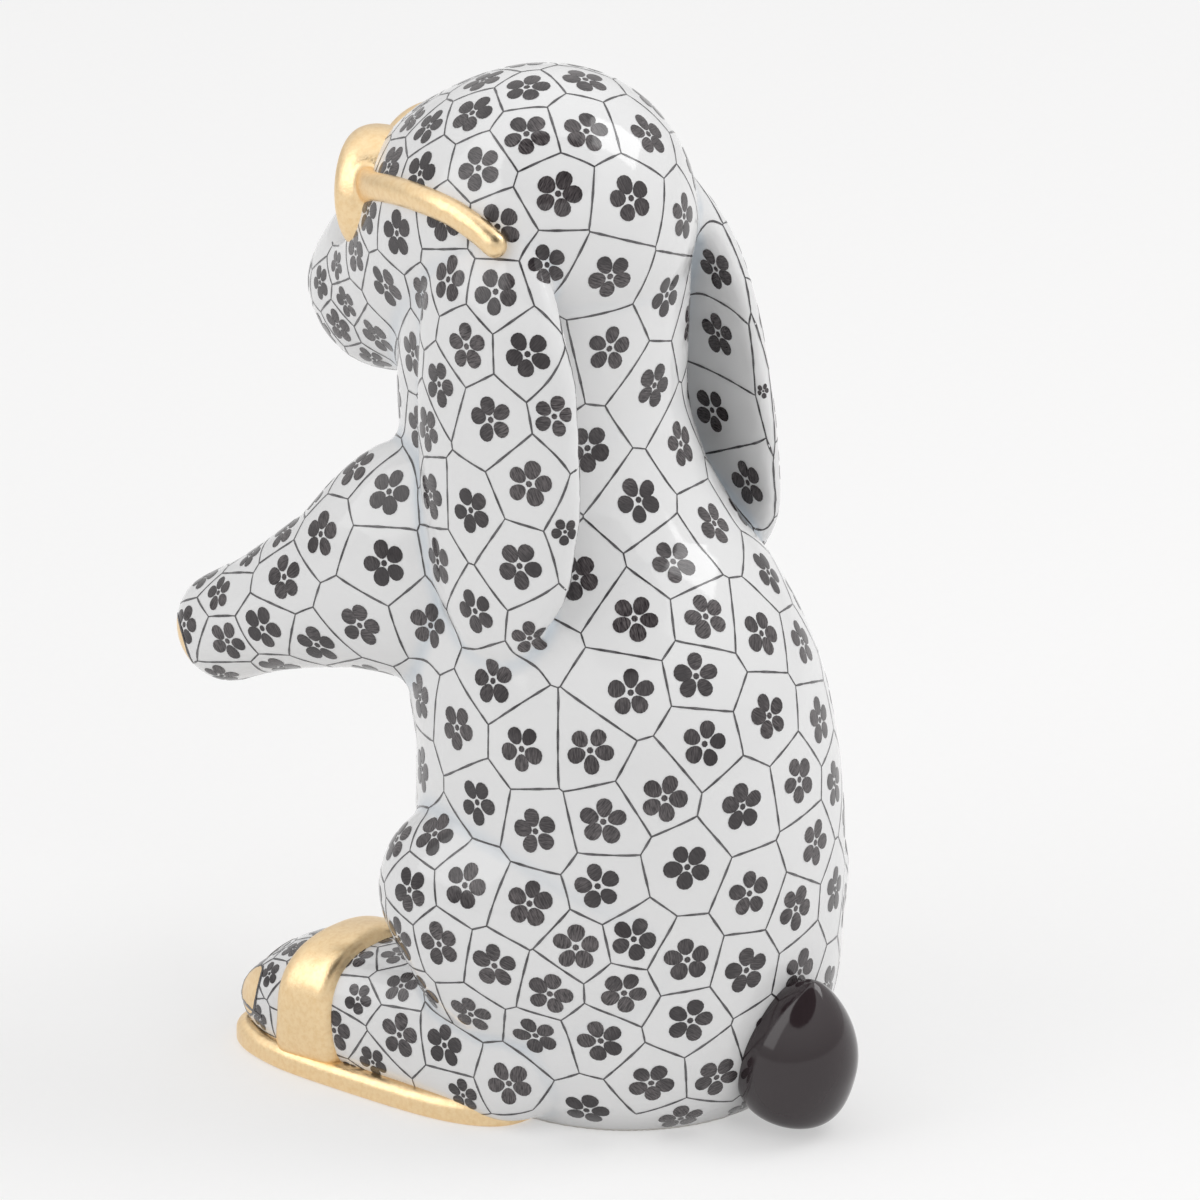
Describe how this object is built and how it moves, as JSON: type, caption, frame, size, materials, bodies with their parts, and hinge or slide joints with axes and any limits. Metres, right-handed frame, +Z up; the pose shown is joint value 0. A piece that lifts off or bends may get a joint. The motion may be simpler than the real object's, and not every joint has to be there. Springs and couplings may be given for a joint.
{
  "type": "rabbit figurine",
  "caption": "Porcelain rabbit sitting upright with its fore legs held out, with lop ears, a round tail, spectacles and sandals.",
  "frame": {"origin": "on the ground under the middle of the seated body, at the flat foot of the torso", "axes": "+Z up, the rabbit faces -Y, its left side is +X"},
  "size_m": [0.0506, 0.0745, 0.1047],
  "materials": {
    "porcelain": "clear gloss glaze over white, painted with thin grey lines and charcoal blossoms",
    "black_glaze": "gloss black",
    "gilding": "satin gold leaf colour, metallic"
  },
  "bodies": {
    "root": {"torso": "porcelain", "head": "porcelain", "ear_left": "porcelain", "ear_right": "porcelain", "arm_left": "porcelain", "arm_right": "porcelain", "haunch_left": "porcelain", "haunch_right": "porcelain", "foot_left": "porcelain", "foot_right": "porcelain", "tail": "black_glaze", "lens_left": "black_glaze", "lens_right": "black_glaze", "sandal_sole_left": "gilding", "sandal_sole_right": "gilding", "sandal_strap_left": "gilding", "sandal_strap_right": "gilding", "spectacle_rims": "gilding", "temple_left": "gilding", "temple_right": "gilding"}
  },
  "joints": []
}
